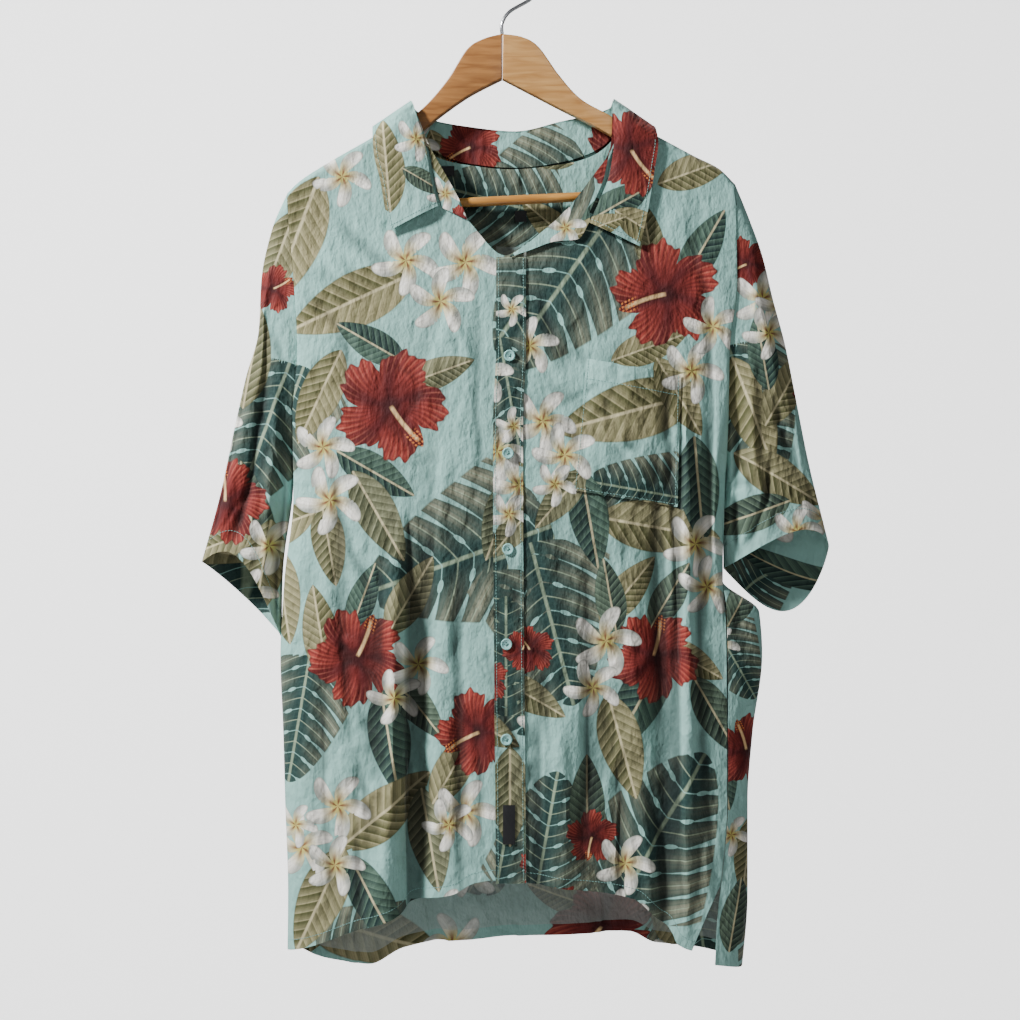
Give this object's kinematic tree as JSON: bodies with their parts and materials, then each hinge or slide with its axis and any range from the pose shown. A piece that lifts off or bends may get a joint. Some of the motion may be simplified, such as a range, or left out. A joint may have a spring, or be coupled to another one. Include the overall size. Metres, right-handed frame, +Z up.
{
  "type": "short-sleeved hawaiian shirt on a wooden hanger",
  "caption": "Loose short-sleeved aloha shirt with open collar, chest pocket and flower and leaf print, buttoned on a flat wooden hanger with a trouser bar.",
  "frame": {"origin": "the seat inside the top of the hook, where a rail carries the hanger", "axes": "+Z up, -Y out of the front of the shirt, +X to the right of someone who faces the front"},
  "size_m": [0.639, 0.1064, 1.029],
  "materials": {
    "cloth": "plain-woven viscose, soft low sheen, printed with flowers and leaves on aqua",
    "tab": "plain black satin ribbon",
    "button": "polished",
    "wood": "clear lacquer, satin",
    "hook": "bright plated"
  },
  "bodies": {
    "root": {"front_left": "cloth", "front_right": "cloth", "back": "cloth", "sleeve_left": "cloth", "sleeve_right": "cloth", "collar_leaf": "cloth", "collar_stand": "cloth", "placket": "cloth", "pocket": "cloth", "hem_label": "tab", "size_tab": "tab", "neck_label": "tab", "button_1": "button", "button_2": "button", "button_3": "button", "button_4": "button", "button_5": "button", "hanger_arm_left": "wood", "hanger_arm_right": "wood", "hanger_bar": "wood", "hanger_hook": "hook"}
  },
  "joints": []
}
